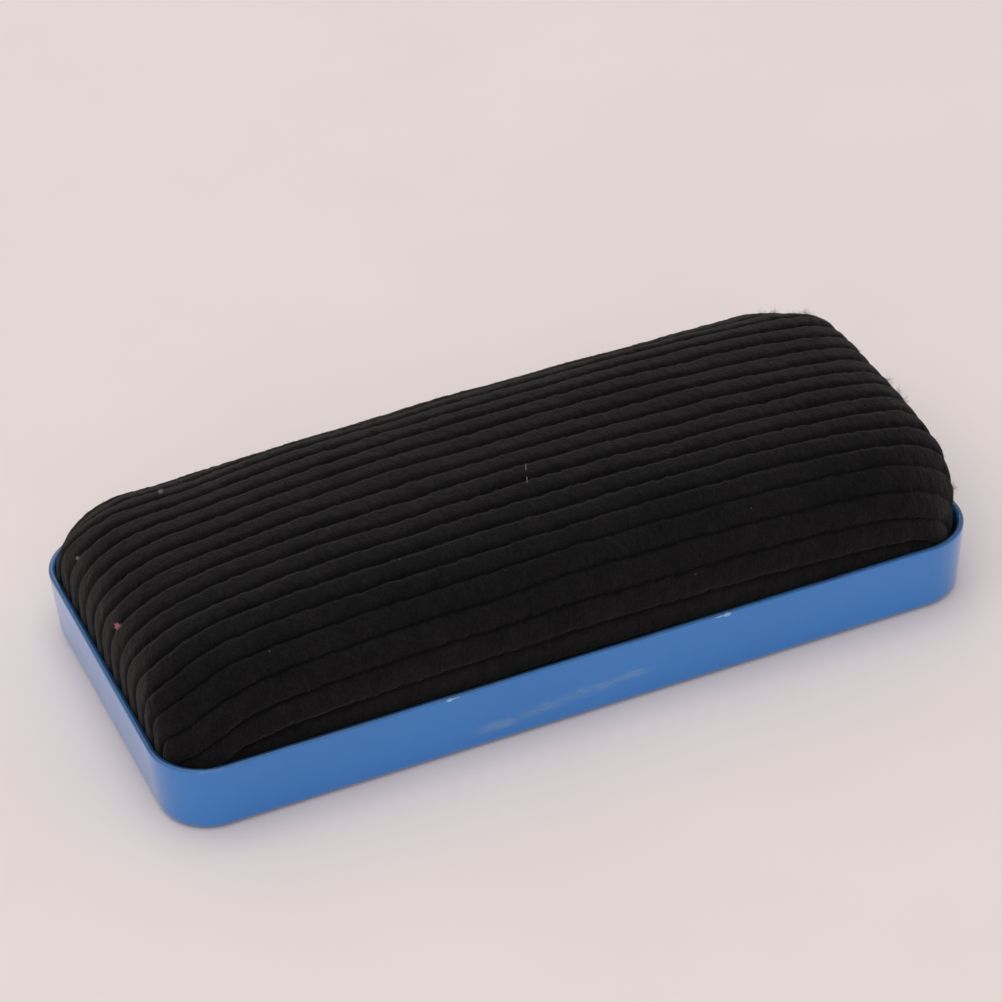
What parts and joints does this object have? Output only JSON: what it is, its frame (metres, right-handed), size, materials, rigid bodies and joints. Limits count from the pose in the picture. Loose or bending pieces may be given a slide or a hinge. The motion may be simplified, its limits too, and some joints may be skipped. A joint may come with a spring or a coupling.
{
  "type": "chalkboard eraser",
  "caption": "Chalkboard eraser: a black corduroy pad, crowned and ribbed lengthwise, seated in a shallow blue painted steel tray with rounded corners.",
  "frame": {"origin": "middle of the tray's underside, the face that the eraser stands on", "axes": "+X along the eraser's length and its wales, +Y across its width, +Z out of the tray through the cloth"},
  "size_m": [0.15, 0.07, 0.0335],
  "materials": {
    "blue_paint": "glossy enamel on drawn sheet steel",
    "black_corduroy": "cut pile in wide wales",
    "foam": "open-cell polyurethane foam",
    "hardboard": "pressed fibre board",
    "staple_wire": "galvanised wire",
    "hot_melt": "translucent hot-melt glue"
  },
  "bodies": {
    "root": {"tray": "blue_paint", "corduroy_cover": "black_corduroy", "foam_pad": "foam", "backing_board": "hardboard", "staples": "staple_wire", "adhesive_beads": "hot_melt"}
  },
  "joints": []
}
